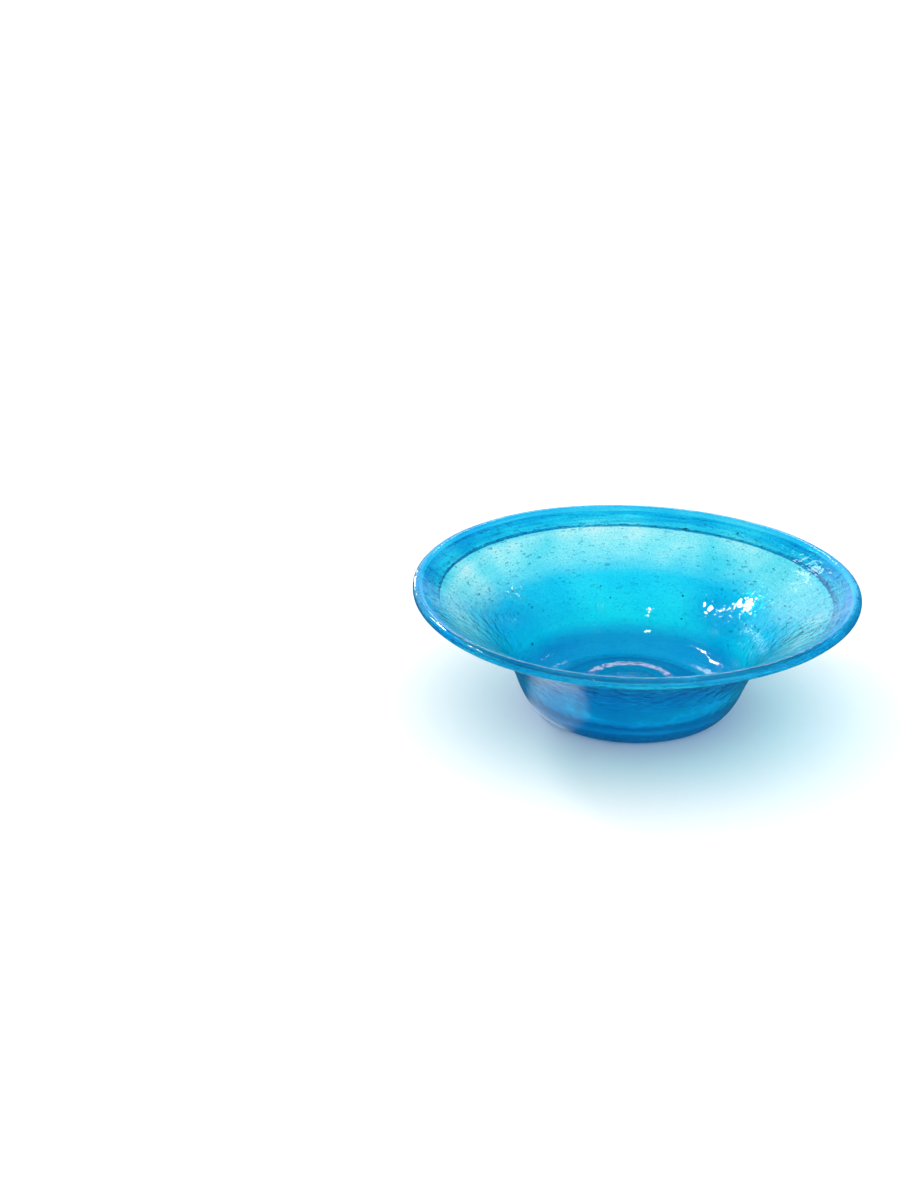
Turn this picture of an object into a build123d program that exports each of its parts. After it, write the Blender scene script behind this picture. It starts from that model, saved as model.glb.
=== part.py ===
"""Hand-blown glass dish with an out-folded rim, a pushed-up base and a pontil scar.

Units are millimetres.  The origin is the centre of the resting ring, on the table, and +Z is up.
Every outline is drawn in the XZ plane, with X as the radius, and turned about the Z axis.
"""
from build123d import *
import math
import os

os.makedirs("parts", exist_ok=True)

# ---- rim: a round lip whose glass is folded outward and back under the wall ----
RIM_RADIUS = 120.0  # outermost edge of the lip
LIP_RADIUS = 3.0  # half the thickness of the round lip
LIP_HEIGHT = 67.5  # middle of the lip above the table
BAND_SLOPE = 30.0  # degrees from level of the flared band next to the lip
BAND_WALL = 2.4  # thickness of the wall along the band
FLAP_THICKNESS = 2.2  # thickness of the glass folded back under the band
FLAP_REACH = 12.7  # from the middle of the lip to the flap's round end, along the slope
WALL_END = 6.0  # from the middle of the lip to where the wall becomes the fold
SWELL = 3.0  # length over which the band swells into the lip
HOLLOW_RADIUS = 0.6  # air trapped inside the fold

# ---- wall ----
WALL_FOOT_RADIUS = 62.9  # outside of the wall just above the heel
WALL_FOOT_HEIGHT = 16.4
WALL_FOOT_SLOPE = 70.0  # degrees from level
FOOT_WALL = 3.6  # thickness of the wall just above the heel
FOOT_PULL = 22.0  # how far the wall keeps its slope at its foot
BAND_PULL = 26.0  # how far it keeps the band's slope at its top

# ---- base: pushed up in the middle, resting on a worn flat ring ----
LAND_INNER = 45.0
LAND_OUTER = 50.0
KICK_HEIGHT = 8.0  # underside at the middle, above the table
KICK_SHOULDER = 20.0  # radius over which the middle of the underside stays nearly level
KICK_TURN = (35.0, 3.2)  # radius and height that the underside bends towards
FLOOR_MIDDLE = 13.0  # inside of the dish at the middle
FLOOR_FLAT_RADIUS = 9.0  # how far out the middle of the floor stays nearly level
STEP_TOP = (15.0, 12.4)  # the floor steps down, then rises in a low ring over the scar
STEP_FOOT = (20.5, 10.6)
RING_FOOT_RADIUS = 22.5  # how far out the floor stays level before the ring
RING_CREST = (25.5, 11.15)
RING_SHOULDER = (27.5, 11.4)  # radius and height that the outside of the ring bends towards
FLOOR_LOW = 6.4  # lowest part of the inside
FLOOR_LOW_RADIUS = 41.0
FLOOR_TURN_RADIUS = 34.85  # how far in the lowest part stays nearly level

# ---- pontil scar: a broken ring of glass left where the dish was held ----
SCAR_CENTRE = (-2.4, 0.6)
SCAR_RADIUS = 17.0
SCAR_WIDTH = 3.4
SCAR_DEPTH = 1.5  # how far it hangs below the underside

# ---- stones in the glass: (place along the wall, azimuth in degrees, diameter) ----
# Place 0 is the foot of the wall, 1 is the start of the band and 2 is the lip.
STONES = [
    (1.38, 52.0, 1.3),
    (0.88, 57.0, 1.0),
    (0.54, 144.0, 1.1),
    (0.38, 99.5, 0.9),
    (0.34, 61.0, 1.2),
    (0.26, 95.5, 0.9),
    (0.12, 58.5, 1.1),
    (0.03, 150.0, 2.0),
]


def along(start, angle, distance):
    """The point at a distance from start, at an angle in degrees above level."""
    turn = math.radians(angle)
    return (start[0] + distance * math.cos(turn), start[1] + distance * math.sin(turn))


def on_band(distance, offset):
    """A point measured inward from the middle of the lip, and up from the fold's inner face."""
    inward = along((RIM_RADIUS - LIP_RADIUS, LIP_HEIGHT), BAND_SLOPE + 180.0, distance)
    return along(inward, BAND_SLOPE + 90.0, offset)


def bezier_point(ends, t):
    """A point on a cubic Bezier curve given by its four control points."""
    weights = [(1 - t) ** 3, 3 * t * (1 - t) ** 2, 3 * t**2 * (1 - t), t**3]
    return tuple(sum(w * p[axis] for w, p in zip(weights, ends)) for axis in (0, 1))


def corner_below(foot, slope, height):
    """Where a line that rises at slope degrees through foot crosses a height."""
    return (foot[0] - (foot[1] - height) / math.tan(math.radians(slope)), height)


# ---- points that the outlines share ----
outer_foot = (WALL_FOOT_RADIUS, WALL_FOOT_HEIGHT)
inner_foot = along(outer_foot, WALL_FOOT_SLOPE + 90.0, FOOT_WALL)
outer_band = on_band(FLAP_REACH, 0.0)
inner_band = on_band(FLAP_REACH, BAND_WALL)
wall_end_low = on_band(WALL_END, 0.0)
wall_end_high = on_band(WALL_END, BAND_WALL)

outer_wall = [
    outer_foot,
    along(outer_foot, WALL_FOOT_SLOPE, FOOT_PULL),
    along(outer_band, BAND_SLOPE + 180.0, BAND_PULL),
    outer_band,
]
inner_wall = [
    inner_foot,
    along(inner_foot, WALL_FOOT_SLOPE, FOOT_PULL),
    along(inner_band, BAND_SLOPE + 180.0, BAND_PULL),
    inner_band,
]


def middle_of_wall(place):
    """Radius and height of the middle of the glass, at a place from 0 to 2 as in STONES."""
    if place > 1.0:
        return on_band(FLAP_REACH * (2.0 - place), BAND_WALL / 2)
    outside = bezier_point(outer_wall, place)
    inside = bezier_point(inner_wall, place)
    return ((outside[0] + inside[0]) / 2, (outside[1] + inside[1]) / 2)


# ---- stone_inclusions: unmelted grains inside the wall ----
with BuildPart() as stone_inclusions:
    for place, azimuth, diameter in STONES:
        radius, height = middle_of_wall(place)
        turn = math.radians(azimuth)
        with Locations((radius * math.cos(turn), radius * math.sin(turn), height)):
            Sphere(diameter / 2)

# ---- bowl: the blown wall and the pushed-up base, with a pocket round each stone ----
with BuildPart() as bowl:
    with BuildSketch(Plane.XZ):
        with BuildLine():
            Bezier((0.0, KICK_HEIGHT), (KICK_SHOULDER, KICK_HEIGHT), KICK_TURN, (LAND_INNER, 0.0))
            Line((LAND_INNER, 0.0), (LAND_OUTER, 0.0))
            Bezier((LAND_OUTER, 0.0), corner_below(outer_foot, WALL_FOOT_SLOPE, 0.0), outer_foot)
            Bezier(*outer_wall)
            Line(outer_band, wall_end_low)
            Line(wall_end_low, wall_end_high)
            Line(wall_end_high, inner_band)
            Bezier(*reversed(inner_wall))
            floor_corner = corner_below(inner_foot, WALL_FOOT_SLOPE, FLOOR_LOW)
            Bezier(inner_foot, floor_corner, (FLOOR_LOW_RADIUS, FLOOR_LOW))
            floor_turn = (FLOOR_TURN_RADIUS, FLOOR_LOW)
            Bezier((FLOOR_LOW_RADIUS, FLOOR_LOW), floor_turn, RING_SHOULDER, RING_CREST)
            Bezier(RING_CREST, (RING_FOOT_RADIUS, STEP_FOOT[1]), STEP_FOOT)
            Line(STEP_FOOT, STEP_TOP)
            Bezier(STEP_TOP, (FLOOR_FLAT_RADIUS, FLOOR_MIDDLE), (0.0, FLOOR_MIDDLE))
            Line((0.0, FLOOR_MIDDLE), (0.0, KICK_HEIGHT))
        make_face()
    revolve(axis=Axis.Z)
    add(stone_inclusions.part, mode=Mode.SUBTRACT)

# ---- folded_rim: the round lip and the flap that lies against the underside of the wall ----
with BuildPart() as folded_rim:
    with BuildSketch(Plane.XZ):
        with BuildLine():
            crest = on_band(0.0, LIP_RADIUS)
            nose = on_band(-LIP_RADIUS, 0.0)
            trough = on_band(0.0, -LIP_RADIUS)
            flap_root = on_band(WALL_END, -FLAP_THICKNESS)
            flap_low = on_band(FLAP_REACH - FLAP_THICKNESS / 2, -FLAP_THICKNESS)
            flap_tip = on_band(FLAP_REACH, -FLAP_THICKNESS / 2)
            flap_high = on_band(FLAP_REACH - FLAP_THICKNESS / 2, 0.0)
            Line(wall_end_low, wall_end_high)
            Bezier(wall_end_high, on_band(SWELL, BAND_WALL), on_band(SWELL / 2, LIP_RADIUS), crest)
            ThreePointArc(crest, nose, trough)
            Bezier(
                trough,
                on_band(SWELL / 2, -LIP_RADIUS),
                on_band(SWELL, -FLAP_THICKNESS),
                flap_root,
            )
            Line(flap_root, flap_low)
            ThreePointArc(flap_low, flap_tip, flap_high)
            Line(flap_high, wall_end_low)
        make_face()
        with Locations(on_band(0.0, 0.0)):
            Circle(HOLLOW_RADIUS, mode=Mode.SUBTRACT)
    revolve(axis=Axis.Z)

# ---- pontil_scar: the ring under the base, its upper face shaped by the base it sits on ----
with BuildPart() as pontil_scar:
    scar_plane = Plane(origin=(*SCAR_CENTRE, 0.0), x_dir=(1, 0, 0), z_dir=(0, -1, 0))
    with BuildSketch(scar_plane):
        with Locations((SCAR_RADIUS, KICK_HEIGHT - SCAR_DEPTH)):
            Ellipse(SCAR_WIDTH / 2, SCAR_DEPTH)
    revolve(axis=Axis(origin=(*SCAR_CENTRE, 0.0), direction=(0, 0, 1)))
    add(bowl.part, mode=Mode.SUBTRACT)

for name, piece in {
    "bowl": bowl,
    "folded_rim": folded_rim,
    "pontil_scar": pontil_scar,
    "stone_inclusions": stone_inclusions,
}.items():
    piece.part.label = name
    export_step(piece.part, f"parts/{name}.step")
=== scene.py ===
"""Looks of the hand-blown turquoise dish: one body of seedy glass with a folded rim.

Metres throughout.  Outlines are (radius, height) pairs turned about the Z axis, as in the CAD model.
"""
import math
import random

import bpy
import numpy as np
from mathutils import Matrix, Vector, noise

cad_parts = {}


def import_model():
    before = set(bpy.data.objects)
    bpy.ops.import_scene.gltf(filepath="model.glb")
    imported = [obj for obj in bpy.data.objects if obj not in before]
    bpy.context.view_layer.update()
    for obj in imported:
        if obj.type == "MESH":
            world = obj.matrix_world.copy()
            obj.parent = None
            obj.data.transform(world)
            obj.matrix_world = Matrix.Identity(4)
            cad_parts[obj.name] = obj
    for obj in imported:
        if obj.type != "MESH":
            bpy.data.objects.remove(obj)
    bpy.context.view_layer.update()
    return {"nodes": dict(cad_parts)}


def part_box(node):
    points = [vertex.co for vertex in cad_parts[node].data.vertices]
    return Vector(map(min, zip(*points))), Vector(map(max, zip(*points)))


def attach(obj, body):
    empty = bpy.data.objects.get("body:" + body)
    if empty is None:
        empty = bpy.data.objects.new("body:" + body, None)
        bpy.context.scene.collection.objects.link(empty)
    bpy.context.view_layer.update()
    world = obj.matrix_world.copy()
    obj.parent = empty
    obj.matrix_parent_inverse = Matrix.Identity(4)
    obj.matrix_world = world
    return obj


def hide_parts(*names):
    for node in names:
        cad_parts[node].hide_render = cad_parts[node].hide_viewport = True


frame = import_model()

MM = 0.001
RANDOM_START = 7  # so that every run scatters the seeds alike
random.seed(RANDOM_START)

# ---------------------------------------------------------------- outline, from the frame
rim_low, rim_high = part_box("folded_rim")
scar_low, scar_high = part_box("pontil_scar")

RIM_RADIUS = (rim_high.x - rim_low.x) / 2
LIP_RADIUS = 3.0 * MM
RIM_TOP = rim_high.z
LIP_HEIGHT = RIM_TOP - LIP_RADIUS
BAND_SLOPE = 30.0
BAND_WALL = 2.4 * MM
FLAP_THICKNESS = 2.2 * MM
FLAP_REACH = 12.7 * MM
FLAP_END = 1.0 * MM  # the flap thins towards its round end
FLAP_PULL = 4.0 * MM  # of the curve that thins it, from its end
FOLD_GAP = 0.10 * MM  # air between the wall and the flap
GAP_END = 1.2 * MM  # from the middle of the lip to where the two layers are fused
SWELL = 3.0 * MM
SWELL_START = 6.0 * MM

FOOT_RADIUS = 62.9 * MM
FOOT_HEIGHT = 16.4 * MM
FOOT_SLOPE = 70.0
FOOT_WALL = 3.6 * MM
FOOT_PULL = 22.0 * MM
BAND_PULL = 26.0 * MM

LAND_INNER = 45.0 * MM
LAND_OUTER = 50.0 * MM
KICK_HEIGHT = 8.0 * MM
KICK_SHOULDER = 20.0 * MM
KICK_TURN = (35.0 * MM, 3.2 * MM)
FLOOR_MIDDLE = 13.0 * MM
FLOOR_LOW = 6.4 * MM
FLOOR_LOW_RADIUS = 41.0 * MM
FLOOR_FLAT_RADIUS = 9.0 * MM
FLOOR_TURN_RADIUS = 34.85 * MM
STEP_TOP = (15.0 * MM, 12.4 * MM)  # the floor steps down, then rises in a low ring over the scar
STEP_FOOT = (20.5 * MM, 10.6 * MM)
RING_FOOT_RADIUS = 22.5 * MM
RING_CREST = (25.5 * MM, 11.15 * MM)
RING_SHOULDER = (27.5 * MM, 11.4 * MM)

SEGMENTS = 320  # round the dish
RING_STEP = 1.7 * MM  # along the outline
FINE_STEP = 0.55 * MM  # round the lip and the flap's end
TURN_STEP = 2 * FINE_STEP  # where the outline turns more gently
GAP_STEP = FOLD_GAP / 4
LENGTH_SAMPLES = 40  # for measuring a path


def along(start, angle, distance):
    """The point at a distance from start, at an angle in degrees above level."""
    turn = math.radians(angle)
    return (start[0] + distance * math.cos(turn), start[1] + distance * math.sin(turn))


def on_band(distance, offset):
    """A point measured inward from the middle of the lip, and up from the fold's inner face."""
    inward = along((RIM_RADIUS - LIP_RADIUS, LIP_HEIGHT), BAND_SLOPE + 180.0, distance)
    return along(inward, BAND_SLOPE + 90.0, offset)


def corner_below(foot, slope, height):
    """Where a line that rises at slope degrees through foot crosses a height."""
    return (foot[0] - (foot[1] - height) / math.tan(math.radians(slope)), height)


def bezier(points, t):
    """A point on the Bezier curve of any number of control points."""
    row = [tuple(p) for p in points]
    while len(row) > 1:
        row = [tuple((1 - t) * a + t * b for a, b in zip(p, q)) for p, q in zip(row, row[1:])]
    return row[0]


def curve(*points):
    """A path along a Bezier curve: a function that gives the point at t, from 0 to 1."""
    return lambda t: bezier(points, t)


def arc(centre, radius, start, end):
    """A path along a circle, from one angle in degrees to another."""
    return lambda t: along(centre, start + (end - start) * t, radius)


def backwards(path):
    return lambda t: path(1.0 - t)


def part_of(path, start, end):
    return lambda t: path(start + (end - start) * t)


outer_foot = (FOOT_RADIUS, FOOT_HEIGHT)
inner_foot = along(outer_foot, FOOT_SLOPE + 90.0, FOOT_WALL)
outer_band = on_band(FLAP_REACH, 0.0)
inner_band = on_band(FLAP_REACH, BAND_WALL)

underside = curve((0.0, KICK_HEIGHT), (KICK_SHOULDER, KICK_HEIGHT), KICK_TURN, (LAND_INNER, 0.0))
land = curve((LAND_INNER, 0.0), (LAND_OUTER, 0.0))
outer_heel = curve((LAND_OUTER, 0.0), corner_below(outer_foot, FOOT_SLOPE, 0.0), outer_foot)
outer_wall = curve(
    outer_foot,
    along(outer_foot, FOOT_SLOPE, FOOT_PULL),
    along(outer_band, BAND_SLOPE + 180.0, BAND_PULL),
    outer_band,
)
inner_wall = curve(
    inner_foot,
    along(inner_foot, FOOT_SLOPE, FOOT_PULL),
    along(inner_band, BAND_SLOPE + 180.0, BAND_PULL),
    inner_band,
)
inner_heel = curve(
    (FLOOR_LOW_RADIUS, FLOOR_LOW), corner_below(inner_foot, FOOT_SLOPE, FLOOR_LOW), inner_foot
)
floor_top = curve((0.0, FLOOR_MIDDLE), (FLOOR_FLAT_RADIUS, FLOOR_MIDDLE), STEP_TOP)
floor_step = curve(STEP_TOP, STEP_FOOT)
floor_ring = curve(STEP_FOOT, (RING_FOOT_RADIUS, STEP_FOOT[1]), RING_CREST)
floor_skirt = curve(
    RING_CREST, RING_SHOULDER, (FLOOR_TURN_RADIUS, FLOOR_LOW), (FLOOR_LOW_RADIUS, FLOOR_LOW)
)
flap_half = FLAP_END / 2
flap_middle = -FOLD_GAP - flap_half
gap_top = curve(outer_band, on_band(GAP_END, 0.0))
gap_close = arc(on_band(GAP_END, -FOLD_GAP / 2), FOLD_GAP / 2, BAND_SLOPE + 90.0, BAND_SLOPE - 90.0)
gap_bottom = curve(on_band(GAP_END, -FOLD_GAP), on_band(FLAP_REACH - flap_half, -FOLD_GAP))
flap_tip = arc(
    on_band(FLAP_REACH - flap_half, flap_middle), flap_half, BAND_SLOPE + 90.0, BAND_SLOPE + 270.0
)
flap_low = curve(
    on_band(FLAP_REACH - flap_half, -FOLD_GAP - FLAP_END),
    on_band(FLAP_REACH - FLAP_PULL, -FLAP_THICKNESS),
    on_band(SWELL_START, -FLAP_THICKNESS),
)
swell_low = curve(
    on_band(SWELL_START, -FLAP_THICKNESS),
    on_band(SWELL, -FLAP_THICKNESS),
    on_band(SWELL / 2, -LIP_RADIUS),
    on_band(0.0, -LIP_RADIUS),
)
lip = arc(on_band(0.0, 0.0), LIP_RADIUS, BAND_SLOPE - 90.0, BAND_SLOPE + 90.0)
swell_high = curve(
    on_band(0.0, LIP_RADIUS),
    on_band(SWELL / 2, LIP_RADIUS),
    on_band(SWELL, BAND_WALL),
    on_band(SWELL_START, BAND_WALL),
)
band_high = curve(on_band(SWELL_START, BAND_WALL), inner_band)

# The whole outline in order, out along the underside, up, over the lip and back to the floor's middle.
OUTLINE = [
    (underside, RING_STEP),
    (land, RING_STEP),
    (outer_heel, RING_STEP),
    (outer_wall, RING_STEP),
    (gap_top, RING_STEP),
    (gap_close, GAP_STEP),
    (gap_bottom, RING_STEP),
    (flap_tip, FINE_STEP),
    (flap_low, RING_STEP),
    (swell_low, TURN_STEP),
    (lip, FINE_STEP),
    (swell_high, TURN_STEP),
    (band_high, RING_STEP),
    (backwards(inner_wall), RING_STEP),
    (backwards(inner_heel), RING_STEP),
    (backwards(floor_skirt), RING_STEP),
    (backwards(floor_ring), TURN_STEP),
    (backwards(floor_step), TURN_STEP),
    (backwards(floor_top), RING_STEP),
]


def sampled(path, step):
    """Points along a path, about a step apart, without its last one."""
    rough = [path(i / LENGTH_SAMPLES) for i in range(LENGTH_SAMPLES + 1)]
    length = sum(math.dist(a, b) for a, b in zip(rough, rough[1:]))
    count = max(2, round(length / step))
    return [path(i / count) for i in range(count)]


def outline_points():
    """The outline from just off the axis, and where in it the fold's air gap starts and ends."""
    points, starts = [], {}
    for path, step in OUTLINE:
        starts[path] = len(points) - 1
        points += sampled(path, step)
    return np.array(points[1:]), starts[gap_top], starts[flap_tip]


def outline_normals(points):
    """Directions out of the glass, one for each point of the outline."""
    ahead = np.roll(points, -1, axis=0) - np.roll(points, 1, axis=0)
    ahead[0] = points[1] - points[0]
    ahead[-1] = points[-1] - points[-2]
    ahead /= np.linalg.norm(ahead, axis=1)[:, None]
    return np.stack([ahead[:, 1], -ahead[:, 0]], axis=1)


# ---------------------------------------------------------------- hand-blown unevenness
# How the rim strays from a level circle: (size, waves round the dish, start in radians).
OUT_OF_ROUND = [(0.77 * MM, 1, -0.26), (0.29 * MM, 2, 1.50)]
OUT_OF_LEVEL = [(0.52 * MM, 1, 1.28), (0.96 * MM, 2, 0.86)]
STRAYS_ABOVE = 5.0 * MM  # the dish is round and level up to this height

DRIFT_SIZE = 0.16 * MM  # slow drift of the glass's thickness
DRIFT_SCALE = 38.0
PEBBLE_SIZE = 0.035 * MM
PEBBLE_SCALE = 170.0
PEBBLE_SHIFT = Vector((9.0, 0.0, 0.0))
DRAWN_SIZE = 0.030 * MM  # tool marks, drawn out round the dish
DRAWN_ROUND = 5.0
DRAWN_ACROSS = 320.0
SKIN_SHIFT = 0.5  # the inner skin takes its noise from elsewhere, so that it differs from the outer
DRAWN_SKIN_SHIFT = 40.0
SMOOTH_HEIGHTS = (0.4 * MM, 4.0 * MM)  # no ripple below the first, all of it above the second
GAP_RIPPLE_SIZE = 0.025 * MM
GAP_RIPPLE_ROUND = 9.0
GAP_RIPPLE_ACROSS = 900.0
GAP_RIPPLE_SHIFT = 1.0


def eased(x, low, high):
    """0 below low, 1 above high, smooth between."""
    t = min(max((x - low) / (high - low), 0.0), 1.0)
    return t * t * (3.0 - 2.0 * t)


def waves_at(turn, waves):
    return sum(size * math.cos(count * turn + start) for size, count, start in waves)


def placed(radius, height, turn):
    """A place in the dish, moved out and up with the whole wall, as one body of glass."""
    reach = eased(height, STRAYS_ABOVE, LIP_HEIGHT)
    out = radius + reach * waves_at(turn, OUT_OF_ROUND)
    up = reach * waves_at(turn, OUT_OF_LEVEL)
    return Vector((out * math.cos(turn), out * math.sin(turn), height + up))


def ripple(radius, height, turn, skin):
    """How far a skin of the glass, 0 for the outer and 1 for the inner, stands proud."""
    here = Vector((radius * math.cos(turn), radius * math.sin(turn), height + skin * SKIN_SHIFT))
    spun_height = height * DRAWN_ACROSS + skin * DRAWN_SKIN_SHIFT
    spun = Vector((turn * DRAWN_ROUND, radius * DRAWN_ACROSS, spun_height))
    drift = DRIFT_SIZE * noise.noise(here * DRIFT_SCALE)
    drawn = DRAWN_SIZE * noise.noise(spun)
    pebble = PEBBLE_SIZE * noise.noise(here * PEBBLE_SCALE + PEBBLE_SHIFT)
    return eased(height, *SMOOTH_HEIGHTS) * (drift + drawn + pebble)


def gap_ripple(radius, turn):
    """Fine drawn-out unevenness of the two faces that lie against each other in the fold."""
    spun = Vector((turn * GAP_RIPPLE_ROUND, radius * GAP_RIPPLE_ACROSS, GAP_RIPPLE_SHIFT))
    return GAP_RIPPLE_SIZE * noise.noise(spun)


# ---------------------------------------------------------------- meshes
def add_object(name, vertices, faces, material):
    mesh = bpy.data.meshes.new(name)
    mesh.from_pydata([tuple(v) for v in vertices], [], faces)
    mesh.validate()
    mesh.polygons.foreach_set("use_smooth", [True] * len(mesh.polygons))
    piece = bpy.data.objects.new(name, mesh)
    bpy.context.scene.collection.objects.link(piece)
    piece.data.materials.append(material)
    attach(piece, "root")
    return piece


def between_rings(first, rings, around):
    """Faces that join each ring of vertices to the next, counted from a first vertex."""
    faces = []
    for ring in range(rings - 1):
        low = first + ring * around
        high = low + around
        for side in range(around):
            after = (side + 1) % around
            faces.append((low + side, low + after, high + after, high + side))
    return faces


def blown_glass(material):
    """The wall, base, lip and flap, which are one unbroken skin of glass on the real dish."""
    outline, gap_start, gap_end = outline_points()
    normals = outline_normals(outline)
    vertices = []
    for ring, (radius, height) in enumerate(outline):
        skin = 0.0 if ring < len(outline) / 2 else 1.0  # the halves meet just under the lip
        in_gap = gap_start <= ring < gap_end
        for segment in range(SEGMENTS):
            turn = 2 * math.pi * segment / SEGMENTS
            proud = gap_ripple(radius, turn) if in_gap else ripple(radius, height, turn, skin)
            r = radius + normals[ring, 0] * proud
            z = height + normals[ring, 1] * proud
            vertices.append(placed(r, z, turn))
    faces = between_rings(0, len(outline), SEGMENTS)
    under = len(vertices)
    over = under + 1
    last = under - SEGMENTS
    vertices += [Vector((0.0, 0.0, KICK_HEIGHT)), Vector((0.0, 0.0, FLOOR_MIDDLE))]
    for segment in range(SEGMENTS):
        after = (segment + 1) % SEGMENTS
        faces.append((under, after, segment))
        faces.append((over, last + segment, last + after))
    piece = add_object("blown_glass", vertices, faces, material)
    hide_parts("bowl", "folded_rim")


def ball(around, up):
    """Points and faces of a unit sphere, with a number of sides round it and of steps up it."""
    points = [(0.0, 0.0, -1.0)]
    for ring in range(1, up):
        tilt = math.pi * ring / up
        for side in range(around):
            turn = 2 * math.pi * side / around
            points.append(
                (math.sin(tilt) * math.cos(turn), math.sin(tilt) * math.sin(turn), -math.cos(tilt))
            )
    points.append((0.0, 0.0, 1.0))
    top = len(points) - 1
    faces = between_rings(1, up - 1, around)
    for side in range(around):
        after = (side + 1) % around
        faces.append((0, 1 + after, 1 + side))
        faces.append((top, top - around + side, top - around + after))
    return np.array(points), faces


# ---------------------------------------------------------------- seeds in the glass
WALL_SPLIT = 0.55
CROWN_EDGE = (14.0 * MM, 7.5 * MM)  # straight lines near the underside, for the seeds of the base
SKIRT_START = (22.0 * MM, 6.2 * MM)
SKIRT_END = (LAND_INNER, 0.4 * MM)
SEEDS_END = 2.0 * MM  # from the middle of the lip
under_crown = curve((0.0, KICK_HEIGHT), CROWN_EDGE)
under_skirt = curve(SKIRT_START, SKIRT_END)
band_inside = curve(inner_band, on_band(SEEDS_END, BAND_WALL))
band_outside = curve(outer_band, on_band(SEEDS_END, 0.0))

# Seeds by piece, as matching stretches of two skins: (inner, outer, number of seeds, most times
# that a seed's length is drawn out).
SEEDS = {
    "base_seeds": [
        (floor_top, under_crown, 160, 1.0),
        (floor_skirt, under_skirt, 480, 1.0),
        (inner_heel, outer_heel, 1000, 1.0),
    ],
    "lower_wall_seeds": [
        (part_of(inner_wall, 0.0, WALL_SPLIT), part_of(outer_wall, 0.0, WALL_SPLIT), 4300, 1.0),
    ],
    "upper_wall_seeds": [
        (part_of(inner_wall, WALL_SPLIT, 1.0), part_of(outer_wall, WALL_SPLIT, 1.0), 5600, 1.0),
    ],
    "rim_seeds": [
        (band_inside, band_outside, 1000, 3.0),
        (backwards(gap_bottom), flap_low, 900, 3.0),
    ],
}

SMALL_WIDTH = 0.48  # millimetres; seeds narrower than this have fewer faces
# Kinds of seed: (luck below this, width in millimetres, length by width, thickness by width).
SEED_KINDS = [
    (0.86, (0.20, SMALL_WIDTH), (1.0, 2.2), 0.55),
    (0.98, (SMALL_WIDTH, 0.95), (1.1, 2.2), 0.6),
    (1.00, (1.0, 1.5), (1.8, 3.2), 0.8),
]
MOST_THICKNESS = 0.8  # millimetres
SMALL_BALL = ball(5, 3)
LARGE_BALL = ball(8, 5)
SEED_DEPTH = (0.25, 0.75)  # as a part of the way from the inner skin to the outer
SEED_COVER = 0.25 * MM  # glass left between a seed and the skin, where there is room
LEAST_HALF = 0.06 * MM  # a seed is never flattened to less than twice this
SEED_LEAN = 0.16  # radians, off the way the glass was spun
LOOK_AHEAD = 0.02  # a short stretch of a path, to find its direction
LOOK_BACK_FROM = 0.9  # past here the stretch behind is used instead


def place_in_glass(inside, outside, t, depth, turn):
    """A point inside the glass, its room to the nearer skin, and its round, up and out directions."""
    a, b = np.array(inside(t)), np.array(outside(t))
    here = a + (b - a) * depth
    step = LOOK_AHEAD if t < LOOK_BACK_FROM else -LOOK_AHEAD
    ahead = np.array(inside(t + step)) - a
    ahead = ahead / np.linalg.norm(ahead) * math.copysign(1.0, step)
    across = np.array([ahead[1], -ahead[0]])
    thickness = abs(np.dot(b - a, across))
    room = thickness * min(depth, 1.0 - depth)
    point = placed(here[0], here[1], turn)
    cos, sin = math.cos(turn), math.sin(turn)
    round_way = Vector((-sin, cos, 0.0))
    up_way = Vector((ahead[0] * cos, ahead[0] * sin, ahead[1]))
    out_way = Vector((across[0] * cos, across[0] * sin, across[1]))
    return point, room, round_way, up_way, out_way


def seed_size():
    """Length round the dish, width up the wall and thickness of one seed."""
    luck = random.random()
    _, widths, lengths, flatness = next(kind for kind in SEED_KINDS if luck < kind[0])
    width = random.uniform(*widths)
    length = width * random.uniform(*lengths)
    return length * MM, width * MM, min(width * flatness, MOST_THICKNESS) * MM


def air_seeds(name, stretches, material):
    """Small air bubbles, drawn out along the way the glass was spun."""
    vertices, faces = [], []
    for inside, outside, count, most_drawn in stretches:
        widest = max(inside(0.0)[0], inside(1.0)[0])
        made = 0
        while made < count:
            t = random.random()
            if random.random() > inside(t)[0] / widest:
                continue
            made += 1
            turn = random.uniform(0.0, 2 * math.pi)
            depth = random.uniform(*SEED_DEPTH)
            point, room, round_way, up_way, out_way = place_in_glass(inside, outside, t, depth, turn)
            length, width, thickness = seed_size()
            length *= random.uniform(1.0, most_drawn)
            thickness = min(thickness, 2 * max(room - SEED_COVER, LEAST_HALF))
            lean = random.gauss(0.0, SEED_LEAN)
            first = round_way * math.cos(lean) + up_way * math.sin(lean)
            second = up_way * math.cos(lean) - round_way * math.sin(lean)
            axes = np.array([first * length / 2, second * width / 2, out_way * thickness / 2])
            points, sides = SMALL_BALL if width < SMALL_WIDTH * MM else LARGE_BALL
            base = len(vertices)
            vertices.extend(points @ axes + np.array(point))
            faces.extend(tuple(base + i for i in face) for face in sides)
    add_object(name, vertices, faces, material)


# ---------------------------------------------------------------- stones and pontil scar
STONE_BALL = ball(14, 9)
STONE_REACH = 4.0 * MM  # corners this near to each other are of one stone
STONE_SIZE = 0.82  # of the CAD stone's radius
STONE_LUMPS = 0.35
STONE_LUMP_SCALE = 1.7
STONE_SHIFT = 7.0  # each stone takes its lumps from elsewhere in the noise

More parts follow.
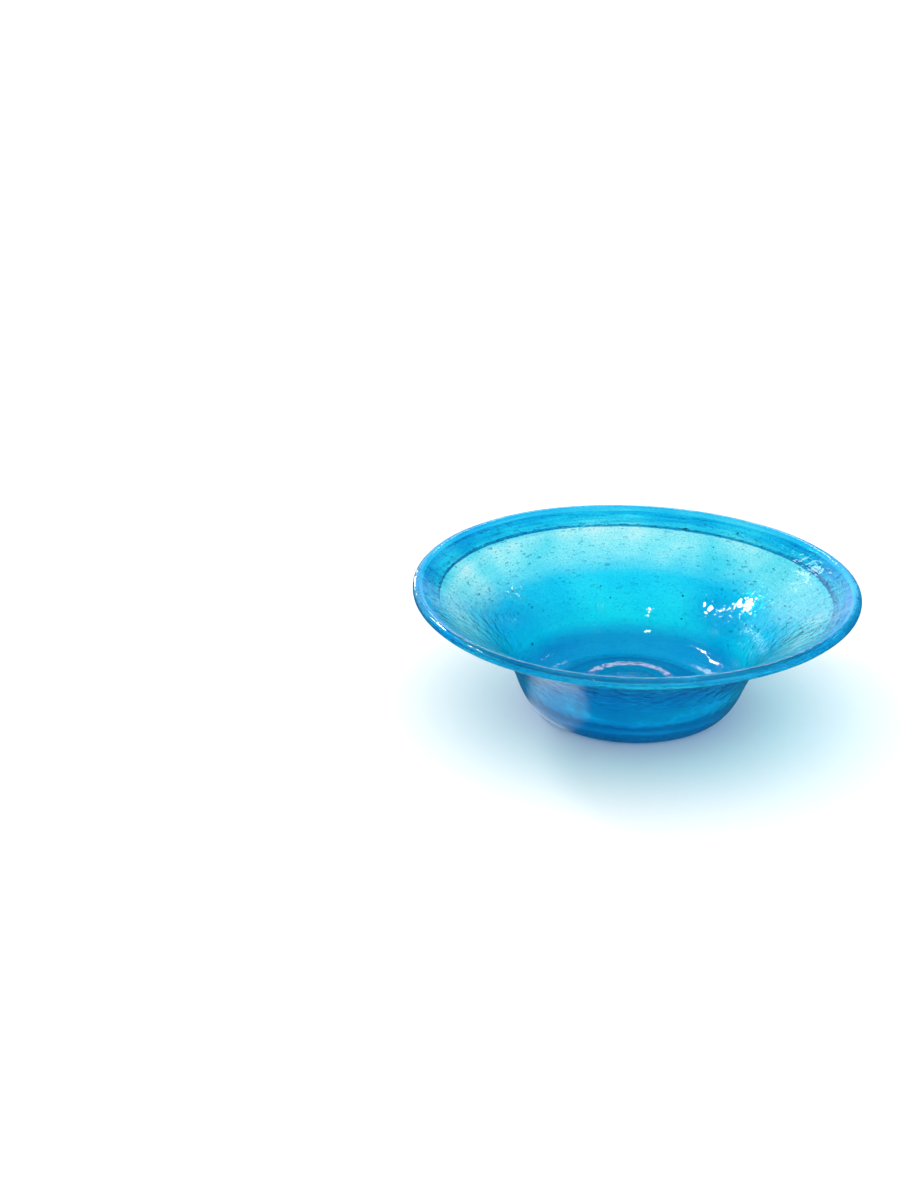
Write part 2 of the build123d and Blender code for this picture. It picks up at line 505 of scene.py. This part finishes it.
SCAR_EDGE = 1.7 * MM  # from the outer edge of the CAD ring to its middle
SCAR_AROUND = 180
SCAR_SIDES = 14
SCAR_HALF_WIDTH = 1.5 * MM
SCAR_WIDTH_CHANGE = 0.7 * MM
SCAR_DEPTH = 1.1 * MM
SCAR_DEPTH_CHANGE = 0.6 * MM
SCAR_CLEAR = 0.05 * MM  # air between the ring and the underside
RAGGED_SCALE = 3.1
RAGGED_FINE_SCALE = 9.0
RAGGED_FINE_SHARE = 0.5
CHIP_SIZE = 0.12 * MM
CHIP_ROUND = 14.0
CHIP_ACROSS = 1.3
CHIP_SHIFT = 5.0
HALVINGS = 24


def clusters(node, reach):
    """Centre and radius of each separate lump in a CAD node."""
    points = [v.co.copy() for v in frame["nodes"][node].data.vertices]
    lumps = []
    while points:
        start = points[0]
        near = [p for p in points if (p - start).length < reach]
        points = [p for p in points if (p - start).length >= reach]
        centre = sum(near, Vector()) / len(near)
        lumps.append((centre, max((p - centre).length for p in near)))
    return lumps


def stones(material):
    """Irregular unmelted grains, where the CAD model has its stones."""
    points, sides = STONE_BALL
    vertices, faces = [], []
    for number, (centre, radius) in enumerate(clusters("stone_inclusions", STONE_REACH)):
        turn = math.atan2(centre.y, centre.x)
        middle = placed(math.hypot(centre.x, centre.y), centre.z, turn)
        shift = Vector((number * STONE_SHIFT, 0.0, 0.0))
        base = len(vertices)
        for point in points:
            way = Vector(point)
            lump = STONE_SIZE + STONE_LUMPS * noise.noise(way * STONE_LUMP_SCALE + shift)
            vertices.append(middle + way * radius * lump)
        faces.extend(tuple(base + i for i in face) for face in sides)
    piece = add_object("stones", vertices, faces, material)
    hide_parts("stone_inclusions")


def under_base(radius):
    """Height of the underside of the base at a radius."""
    low, high = 0.0, 1.0
    for _ in range(HALVINGS):
        t = (low + high) / 2
        if underside(t)[0] < radius:
            low = t
        else:
            high = t
    return underside(t)[1]


def scar_section(turn, middle, ring_radius):
    """Points round the ragged ring's section, at a turn round the dish."""
    spot = Vector((math.cos(turn), math.sin(turn), 0.0))
    ragged = noise.noise(spot * RAGGED_SCALE)
    ragged += RAGGED_FINE_SHARE * noise.noise(spot * RAGGED_FINE_SCALE)
    half_width = SCAR_HALF_WIDTH + SCAR_WIDTH_CHANGE * ragged
    depth = SCAR_DEPTH + SCAR_DEPTH_CHANGE * ragged
    section = []
    for side in range(SCAR_SIDES):
        angle = 2 * math.pi * side / SCAR_SIDES
        chip = CHIP_SIZE * noise.noise(Vector((turn * CHIP_ROUND, angle * CHIP_ACROSS, CHIP_SHIFT)))
        out = ring_radius + (half_width + chip) * math.cos(angle)
        x, y = middle.x + out * spot.x, middle.y + out * spot.y
        roof = under_base(math.hypot(x, y)) - SCAR_CLEAR
        drop = (depth + chip) * (1.0 - math.sin(angle)) / 2
        section.append(Vector((x, y, roof - drop)))
    return section


def pontil_scar(material):
    """The broken ring of glass left under the base, rough and uneven."""
    middle = (scar_low + scar_high) / 2
    ring_radius = (scar_high.x - scar_low.x) / 2 - SCAR_EDGE
    vertices, faces = [], []
    for section in range(SCAR_AROUND):
        vertices += scar_section(2 * math.pi * section / SCAR_AROUND, middle, ring_radius)
        here = section * SCAR_SIDES
        ahead = (section + 1) % SCAR_AROUND * SCAR_SIDES
        for side in range(SCAR_SIDES):
            after = (side + 1) % SCAR_SIDES
            faces.append((here + side, ahead + side, ahead + after, here + after))
    piece = add_object("pontil_ring", vertices, faces, material)
    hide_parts("pontil_scar")


# ---------------------------------------------------------------- looks of the glass
GLASS_INDEX = 1.5
# Ramps are lists of (place, linear colour).
WALL_TINT_LIGHT_AND_SHADE = [  # by height, from the table to the rim: the glass's colour, with painted shade low in the body and painted light in the pale upper wall
    (0.00, (0.008, 0.54, 0.86)),
    (0.17, (0.008, 0.49, 0.84)),
    (0.30, (0.008, 0.86, 0.99)),
    (0.60, (0.020, 0.76, 0.99)),
    (0.76, (0.42, 0.97, 1.0)),
    (0.86, (0.62, 1.0, 1.0)),
    (0.89, (0.16, 0.86, 0.97)),
    (0.95, (0.12, 0.82, 0.97)),
    (0.985, (0.02, 0.58, 0.96)),
]
BASE_PAINTED_SHADE = [(0.34, (0.78, 0.67, 0.77)), (0.39, (1.0, 1.0, 1.0))]  # by radius: painted shade, the base is darker
CLEARNESS = [  # by height: the heel and the lip are thick with tiny seeds, which scatter light
    (0.00, (0.60, 0.60, 0.60)),
    (0.14, (0.68, 0.68, 0.68)),
    (0.30, (0.90, 0.90, 0.90)),
    (0.50, (1.0, 1.0, 1.0)),
    (0.955, (1.0, 1.0, 1.0)),
    (0.985, (0.70, 0.70, 0.70)),
]
BAND_STARTS = 0.87  # as a part of the full height
SPIN_STRETCH = (3.0, 520.0, 520.0)  # round the dish, outward and up
# Patterns are (scale, detail) of a noise.
STRIAE = (1.0, 3.0)
STRIAE_TINT = [(0.32, (0.75, 0.95, 0.98)), (0.50, (1.0, 1.0, 1.0)), (0.68, (1.15, 1.02, 1.01))]
BAND_STRIAE_TINT = [(0.34, (0.35, 0.78, 0.92)), (0.50, (1.0, 1.0, 1.0)), (0.66, (1.7, 1.12, 1.04))]
CLOUD = (26.0, 2.0)
CLOUD_TINT = [(0.32, (0.30, 0.84, 0.95)), (0.50, (0.85, 0.97, 1.0)), (0.68, (1.6, 1.05, 1.02))]
GRAIN = (1000.0, 2.0)
GRAIN_TINT = [(0.34, (0.55, 0.86, 0.94)), (0.50, (1.0, 1.0, 1.0)), (0.70, (1.25, 1.05, 1.02))]
PEEL = (190.0, 1.0)  # the orange-peel waviness that breaks up highlights
PEEL_DEPTH = 0.32 * MM
DIMPLE_SCALE = 430.0
DIMPLE_SIZE = 0.30
DIMPLE_DEPTH = 0.06 * MM
STREAKS = (1.6, 2.0)
STREAK_DEPTH = 0.06 * MM
WORN_HEIGHTS = (0.3 * MM, 1.2 * MM)  # frosted by wear below the first, polished above the second
WORN_ROUGHNESS = 0.4
VOLUME_TINT = (0.85, 0.978, 0.995, 1.0)
VOLUME_DENSITY = 1000.0

AIR_GRAIN = (300.0, 1.0)
AIR_TINT = [(0.35, (0.93, 0.97, 1.0)), (0.60, (1.0, 1.0, 1.0))]
SEED_FAINTNESS = 0.40  # how much of the light passes a seed without bending

STONE_GRAIN = (900.0, 2.0)
STONE_TINT = [(0.35, (0.012, 0.010, 0.008)), (0.70, (0.10, 0.07, 0.045))]
STONE_ROUGHNESS = 0.8

SCAR_GRAIN = (700.0, 4.0)
SCAR_TINT = [(0.35, (0.60, 0.72, 0.90)), (0.65, (0.92, 0.96, 1.0))]
SCAR_ROUGHNESS = (0.2, 0.7)
SCAR_CLEARNESS = 0.5


def new_material(name):
    """A material, its node tree and its output."""
    material = bpy.data.materials.new(name)
    material.use_nodes = True
    tree = material.node_tree
    tree.nodes.clear()
    return material, tree, tree.nodes.new("ShaderNodeOutputMaterial")


def feed(tree, socket, value):
    """Give a node's input either a link from another node or a plain value."""
    if isinstance(value, bpy.types.NodeSocket):
        tree.links.new(value, socket)
    else:
        socket.default_value = value


def coordinates(tree, kind="Object"):
    return tree.nodes.new("ShaderNodeTexCoord").outputs[kind]


def along_axes(tree, place):
    """The X, Y and Z of a place."""
    parts = tree.nodes.new("ShaderNodeSeparateXYZ")
    tree.links.new(place, parts.inputs["Vector"])
    return parts.outputs["X"], parts.outputs["Y"], parts.outputs["Z"]


def from_axes(tree, *values):
    joined = tree.nodes.new("ShaderNodeCombineXYZ")
    for socket, value in zip(joined.inputs, values):
        feed(tree, socket, value)
    return joined.outputs["Vector"]


def worked_out(tree, operation, *values, clamp=False):
    """The result of a maths operation, named as Blender names it."""
    step = tree.nodes.new("ShaderNodeMath")
    step.operation = operation
    step.use_clamp = clamp
    for socket, value in zip(step.inputs, values):
        feed(tree, socket, value)
    return step.outputs["Value"]


def vector_step(tree, operation, *values):
    """A node for a vector operation, named as Blender names it."""
    step = tree.nodes.new("ShaderNodeVectorMath")
    step.operation = operation
    for socket, value in zip(step.inputs, values):
        feed(tree, socket, value)
    return step


def spread(tree, value, low, high, to=(0.0, 1.0), kind="LINEAR"):
    """A value moved from the range low to high onto another range, and held at its ends."""
    step = tree.nodes.new("ShaderNodeMapRange")
    step.interpolation_type = kind
    step.inputs["From Min"].default_value = low
    step.inputs["From Max"].default_value = high
    step.inputs["To Min"].default_value = to[0]
    step.inputs["To Max"].default_value = to[1]
    tree.links.new(value, step.inputs["Value"])
    return step.outputs["Result"]


def noise_of(tree, place, pattern):
    """A pattern of noise at a place."""
    step = tree.nodes.new("ShaderNodeTexNoise")
    step.inputs["Scale"].default_value, step.inputs["Detail"].default_value = pattern
    tree.links.new(place, step.inputs["Vector"])
    return step.outputs["Fac"]


def colour_ramp(tree, value, stops):
    """The colour that a ramp has at a value from 0 to 1."""
    ramp = tree.nodes.new("ShaderNodeValToRGB")
    places = ramp.color_ramp.elements
    while len(places) < len(stops):
        places.new(0.5)
    for place, (at, colour) in zip(places, stops):
        place.position, place.color = at, (*colour, 1.0)
    tree.links.new(value, ramp.inputs["Fac"])
    return ramp.outputs["Color"]


def mixed(tree, part, a, b, blend="MIX"):
    """Colour a where part is 0, and b, or a blended with b, where it is 1."""
    mix = tree.nodes.new("ShaderNodeMix")
    mix.data_type = "RGBA"
    mix.blend_type = blend
    feed(tree, mix.inputs["Factor"], part)
    feed(tree, mix.inputs["A"], a)
    feed(tree, mix.inputs["B"], b)
    return mix.outputs["Result"]


def multiplied(tree, a, b):
    return mixed(tree, 1.0, a, b, "MULTIPLY")


def mixed_shaders(tree, part, a, b):
    """Shader a where part is 0 and b where it is 1."""
    mix = tree.nodes.new("ShaderNodeMixShader")
    for socket, value in zip(mix.inputs, (part, a, b)):
        feed(tree, socket, value)
    return mix.outputs["Shader"]


def bumped(tree, height, depth, normal=None):
    """The normals of a surface with heights added, over those of an earlier bump if there is one."""
    bump = tree.nodes.new("ShaderNodeBump")
    bump.inputs["Distance"].default_value = depth
    tree.links.new(height, bump.inputs["Height"])
    if normal is not None:
        tree.links.new(normal, bump.inputs["Normal"])
    return bump.outputs["Normal"]


def dimples(tree, place):
    """Heights of small round dimples, where seeds came to the surface."""
    cells = tree.nodes.new("ShaderNodeTexVoronoi")
    cells.inputs["Scale"].default_value = DIMPLE_SCALE
    tree.links.new(place, cells.inputs["Vector"])
    return spread(tree, cells.outputs["Distance"], 0.0, DIMPLE_SIZE, kind="SMOOTHSTEP")


def spun_place(tree, x, y, z):
    """Coordinates in which streaks run round the dish, the way it was spun, and the radius."""
    radius = vector_step(tree, "LENGTH", from_axes(tree, x, y)).outputs["Value"]
    spun = from_axes(tree, worked_out(tree, "ARCTAN2", y, x), radius, z)
    return vector_step(tree, "MULTIPLY", spun, SPIN_STRETCH).outputs["Vector"], radius


def tint_with_painted_light(tree, here, spun, radius, level):
    """The colour of the glass by height and radius, with painted light and shade by height, painted
    shade over the base, and streaks, clouds and grain in it.
    """
    streaks = noise_of(tree, spun, STRIAE)
    body_striae = colour_ramp(tree, streaks, STRIAE_TINT)
    band_striae = colour_ramp(tree, streaks, BAND_STRIAE_TINT)
    in_band = worked_out(tree, "GREATER_THAN", level, BAND_STARTS)
    layers = (
        mixed(tree, in_band, body_striae, band_striae),
        colour_ramp(tree, noise_of(tree, here, CLOUD), CLOUD_TINT),
        colour_ramp(tree, noise_of(tree, here, GRAIN), GRAIN_TINT),
        # painted shade over the base
        colour_ramp(tree, spread(tree, radius, 0.0, RIM_RADIUS), BASE_PAINTED_SHADE),
    )
    # The glass's colour by height, with painted shade low in the body and painted light in the pale
    # upper wall.
    tint = colour_ramp(tree, level, WALL_TINT_LIGHT_AND_SHADE)
    for layer in layers:
        tint = multiplied(tree, tint, layer)
    return tint


def glass_material():
    """Turquoise glass, streaked by spinning: its colour by height is partly the glass, partly painted
    shade deep in the body and painted light where the upper wall is pale.
    """
    material, tree, out = new_material("turquoise_glass")
    here = coordinates(tree)
    x, y, z = along_axes(tree, here)
    spun, radius = spun_place(tree, x, y, z)
    level = spread(tree, z, 0.0, RIM_TOP)
    normal = bumped(tree, noise_of(tree, here, PEEL), PEEL_DEPTH)
    normal = bumped(tree, dimples(tree, here), DIMPLE_DEPTH, normal)
    normal = bumped(tree, noise_of(tree, spun, STREAKS), STREAK_DEPTH, normal)
    shader = tree.nodes.new("ShaderNodeBsdfPrincipled")
    looks = {
        "IOR": GLASS_INDEX,
        "Base Color": tint_with_painted_light(tree, here, spun, radius, level),
        "Transmission Weight": colour_ramp(tree, level, CLEARNESS),
        "Roughness": spread(tree, z, *WORN_HEIGHTS, to=(WORN_ROUGHNESS, 0.0)),
        "Normal": normal,
    }
    for name, value in looks.items():
        feed(tree, shader.inputs[name], value)
    volume = tree.nodes.new("ShaderNodeVolumeAbsorption")
    volume.inputs["Color"].default_value = VOLUME_TINT
    volume.inputs["Density"].default_value = VOLUME_DENSITY
    tree.links.new(shader.outputs["BSDF"], out.inputs["Surface"])
    tree.links.new(volume.outputs["Volume"], out.inputs["Volume"])
    return material


def air_material():
    """Air inside glass: a surface that bends light by the inverse of the glass's own index."""
    material, tree, out = new_material("air_in_glass")
    film = colour_ramp(tree, noise_of(tree, coordinates(tree), AIR_GRAIN), AIR_TINT)
    bending = tree.nodes.new("ShaderNodeBsdfGlass")
    bending.inputs["Roughness"].default_value = 0.0
    bending.inputs["IOR"].default_value = 1.0 / GLASS_INDEX
    tree.links.new(film, bending.inputs["Color"])
    straight = tree.nodes.new("ShaderNodeBsdfTransparent")
    seed = mixed_shaders(tree, SEED_FAINTNESS, bending.outputs["BSDF"], straight.outputs["BSDF"])
    tree.links.new(seed, out.inputs["Surface"])
    return material


def stone_material():
    """Dark unmelted grains."""
    material, tree, out = new_material("stone_grain")
    shader = tree.nodes.new("ShaderNodeBsdfPrincipled")
    grain = colour_ramp(tree, noise_of(tree, coordinates(tree), STONE_GRAIN), STONE_TINT)
    shader.inputs["Roughness"].default_value = STONE_ROUGHNESS
    tree.links.new(grain, shader.inputs["Base Color"])
    tree.links.new(shader.outputs["BSDF"], out.inputs["Surface"])
    return material


def scar_material():
    """Snapped glass, frosted by its broken surface."""
    material, tree, out = new_material("scar_glass")
    frost = noise_of(tree, coordinates(tree), SCAR_GRAIN)
    shader = tree.nodes.new("ShaderNodeBsdfPrincipled")
    looks = {
        "IOR": GLASS_INDEX,
        "Base Color": colour_ramp(tree, frost, SCAR_TINT),
        "Transmission Weight": SCAR_CLEARNESS,
        "Roughness": spread(tree, frost, 0.0, 1.0, to=SCAR_ROUGHNESS),
    }
    for name, value in looks.items():
        feed(tree, shader.inputs[name], value)
    tree.links.new(shader.outputs["BSDF"], out.inputs["Surface"])
    return material


# ---------------------------------------------------------------- stage
FLOOR_DROP = -0.02 * MM  # just clear of the resting ring, so that the two faces never coincide
FLOOR_RADIUS = 9.0
FLOOR_SIDES = 64
TABLE_COLOUR = (0.92, 0.92, 0.92, 1.0)
# Painted light: the light the table gives off where it is seen through the glass, with painted shade
# from the dish: by metres out, and at the sides.
TABLE_GLOW = [(0.03, (0.80, 0.82, 0.86)), (0.09, (0.92, 0.94, 0.96)), (0.2, (1.02, 1.02, 1.02))]
GLOW_REACH = 0.16  # the sides' ramp goes from this far left to this far right
# Painted shade of the dish's sides on the table's glow, from left to right.
SIDE_PAINTED_SHADE = [
    (0.00, (1.0, 1.0, 1.0)),
    (0.20, (0.60, 0.76, 0.90)),
    (0.30, (0.34, 0.58, 0.80)),
    (0.36, (0.55, 0.72, 0.88)),
    (0.48, (1.0, 1.0, 1.0)),
    (0.62, (0.92, 0.95, 0.98)),
    (0.68, (0.42, 0.62, 0.84)),
    (0.74, (0.60, 0.76, 0.90)),
    (0.82, (1.0, 1.0, 1.0)),
]
SIDES_END = (0.12, 0.18)  # metres out, between which the sides' painted shade fades away
PATCH_CENTRE = (-0.052, -0.040, 0.0)  # a painted reflection: a bright patch that the table shows only when mirrored in the body
PATCH_FADE = (0.018, 0.045)  # metres from its centre
PATCH_EDGE = (-0.041, -0.033)  # its crisp right edge
MIRRORED_TABLE = [(0.0, (0.72, 0.92, 1.0)), (1.0, (0.02, 0.10, 0.16))]  # painted reflection colours, in the patch, and elsewhere

BACKDROP = (0.98, 0.98, 0.98, 1.0)
SKY_LIGHT = [(0.0, (0.62, 0.62, 0.63)), (0.9, (1.6, 1.6, 1.6))]
WINDOW_WAY = (-0.20, 0.80, 0.0)  # the bright side of the room, behind the dish
WINDOW_LEAVES = (6.0, 4.0)
WINDOW_RAGGED = 0.32
MIRRORED_ROOM = [
    (0.77, (0.04, 0.13, 0.20)),
    (0.80, (0.38, 0.50, 0.82)),
    (0.92, (0.62, 0.76, 1.15)),
    (0.98, (1.0, 1.10, 1.45)),
]

LIGHT_AIM = Vector((0.0, 0.0, 0.03))
KEY_PLACE = Vector((-1.03, 0.82, 0.88))
KEY_SIZE = (0.22, 0.18)
KEY_POWER = 6.0
GLINT_DISTANCE = 1.5
GLINTS = [  # windows that show only as reflections: (azimuth, elevation, width, height, power)
    (152.0, 33.0, 0.05, 0.05, 0.9),
    (165.0, 34.0, 0.07, 0.04, 1.1),
    (178.0, 36.0, 0.14, 0.10, 3.4),
    (160.0, 34.5, 0.50, 0.012, 0.9),
    (90.0, 37.0, 0.90, 0.22, 2.9),
    (-114.0, 31.0, 0.10, 0.06, 1.2),
    (117.0, 8.0, 0.20, 0.10, 2.2),
    (-60.0, 35.0, 0.06, 0.04, 0.4),
    (32.0, 33.0, 0.20, 0.010, 0.16),
]

LENS = 60.0  # millimetres
SENSOR_WIDTH = 36.0
CAMERA_PLACE = (-0.0991, -0.988, 0.4309 + LIP_HEIGHT)
CAMERA_DIP = 23.93  # degrees below level

GLASS_BOUNCES = 32
GLOSSY_BOUNCES = 8


def mirrored_ray(tree, ray):
    """1 for light seen mirrored in a surface, 0 for light seen directly or through the glass."""
    through = ray.outputs["Is Transmission Ray"]
    return worked_out(tree, "SUBTRACT", ray.outputs["Is Glossy Ray"], through, clamp=True)


def table_mirrored(tree, here, x):
    """Painted reflection of the table in the glass: a bright patch with a crisp right edge."""
    beyond_edge = spread(tree, x, *PATCH_EDGE)
    off_centre = vector_step(tree, "DISTANCE", here, PATCH_CENTRE).outputs["Value"]
    beyond_patch = spread(tree, off_centre, *PATCH_FADE, kind="SMOOTHSTEP")
    outside = worked_out(tree, "MAXIMUM", beyond_edge, beyond_patch)
    return colour_ramp(tree, outside, MIRRORED_TABLE)


def table_glow(tree, here, x):
    """Painted light seen of the table through the glass, with painted shade under the dish and at its
    sides.
    """
    radius = vector_step(tree, "LENGTH", here).outputs["Value"]
    under = colour_ramp(tree, radius, TABLE_GLOW)
    sides = colour_ramp(tree, spread(tree, x, -GLOW_REACH, GLOW_REACH), SIDE_PAINTED_SHADE)
    return mixed(tree, spread(tree, radius, *SIDES_END), multiplied(tree, under, sides), under)


def floor_material():
    """A pale table, with painted light and shade where it is seen through the glass and a painted
    reflection where it is mirrored in it.
    """
    material, tree, out = new_material("pale_floor")
    ray = tree.nodes.new("ShaderNodeLightPath")
    here = coordinates(tree)
    x, _, _ = along_axes(tree, here)
    plain = tree.nodes.new("ShaderNodeBsdfDiffuse")
    plain.inputs["Color"].default_value = TABLE_COLOUR
    glow = tree.nodes.new("ShaderNodeEmission")
    tree.links.new(table_glow(tree, here, x), glow.inputs["Color"])
    mirrored = tree.nodes.new("ShaderNodeEmission")
    tree.links.new(table_mirrored(tree, here, x), mirrored.inputs["Color"])
    through = ray.outputs["Is Transmission Ray"]
    seen = mixed_shaders(tree, through, plain.outputs["BSDF"], glow.outputs["Emission"])
    seen = mixed_shaders(tree, mirrored_ray(tree, ray), seen, mirrored.outputs["Emission"])
    tree.links.new(seen, out.inputs["Surface"])
    return material


def floor():
    turns = [2 * math.pi * side / FLOOR_SIDES for side in range(FLOOR_SIDES)]
    ring = [(FLOOR_RADIUS * math.cos(a), FLOOR_RADIUS * math.sin(a), FLOOR_DROP) for a in turns]
    mesh = bpy.data.meshes.new("floor")
    mesh.from_pydata(ring, [], [tuple(range(FLOOR_SIDES))])
    mesh.materials.append(floor_material())
    piece = bpy.data.objects.new("floor", mesh)
    bpy.context.scene.collection.objects.link(piece)


def world():
    """Soft overhead light for the table, an even backdrop, and a dim room for the glass to mirror."""
    made = bpy.data.worlds.new("studio")
    bpy.context.scene.world = made
    made.use_nodes = True
    tree = made.node_tree
    ray = tree.nodes.new("ShaderNodeLightPath")
    way = coordinates(tree, "Generated")
    _, _, up = along_axes(tree, way)
    light = colour_ramp(tree, up, SKY_LIGHT)
    aside = vector_step(tree, "DOT_PRODUCT", way, WINDOW_WAY).outputs["Value"]
    leaves = noise_of(tree, way, WINDOW_LEAVES)
    ragged = worked_out(tree, "MULTIPLY_ADD", leaves, WINDOW_RAGGED, aside)
    room = colour_ramp(tree, ragged, MIRRORED_ROOM)
    seen = mixed(tree, mirrored_ray(tree, ray), BACKDROP, room)
    final = mixed(tree, ray.outputs["Is Diffuse Ray"], seen, light)
    tree.links.new(final, tree.nodes["Background"].inputs["Color"])


def area_light(name, place, size, power):
    data = bpy.data.lights.new(name, "AREA")
    data.shape = "RECTANGLE"
    data.size, data.size_y = size
    data.energy = power
    piece = bpy.data.objects.new(name, data)
    bpy.context.scene.collection.objects.link(piece)
    piece.location = place
    piece.rotation_euler = (LIGHT_AIM - place).to_track_quat("-Z", "Y").to_euler()
    return piece


def mirror_only(light):
    """Hide a light from all but reflections in the glass."""
    light.visible_camera = False
    light.visible_diffuse = False
    light.visible_transmission = False


def way_towards(azimuth, elevation):
    flat, rise = math.radians(azimuth), math.radians(elevation)
    return Vector((math.cos(flat) * math.cos(rise), math.sin(flat) * math.cos(rise), math.sin(rise)))


def lights():
    area_light("key", KEY_PLACE, KEY_SIZE, KEY_POWER)
    for number, (azimuth, elevation, width, height, power) in enumerate(GLINTS):
        place = LIGHT_AIM + GLINT_DISTANCE * way_towards(azimuth, elevation)
        mirror_only(area_light(f"glint_{number}", place, (width, height), power))


def camera():
    data = bpy.data.cameras.new("camera")
    data.lens = LENS
    data.sensor_width = SENSOR_WIDTH
    piece = bpy.data.objects.new("camera", data)
    bpy.context.scene.collection.objects.link(piece)
    piece.location = CAMERA_PLACE
    piece.rotation_euler = (math.radians(90.0 - CAMERA_DIP), 0.0, 0.0)
    bpy.context.scene.camera = piece


camera()
world()
floor()
lights()

scene = bpy.context.scene
scene.view_settings.view_transform = "Standard"
scene.cycles.max_bounces = GLASS_BOUNCES
scene.cycles.transmission_bounces = GLASS_BOUNCES
scene.cycles.glossy_bounces = GLOSSY_BOUNCES

blown_glass(glass_material())
air = air_material()
for name, stretches in SEEDS.items():
    air_seeds(name, stretches, air)
stones(stone_material())
pontil_scar(scar_material())
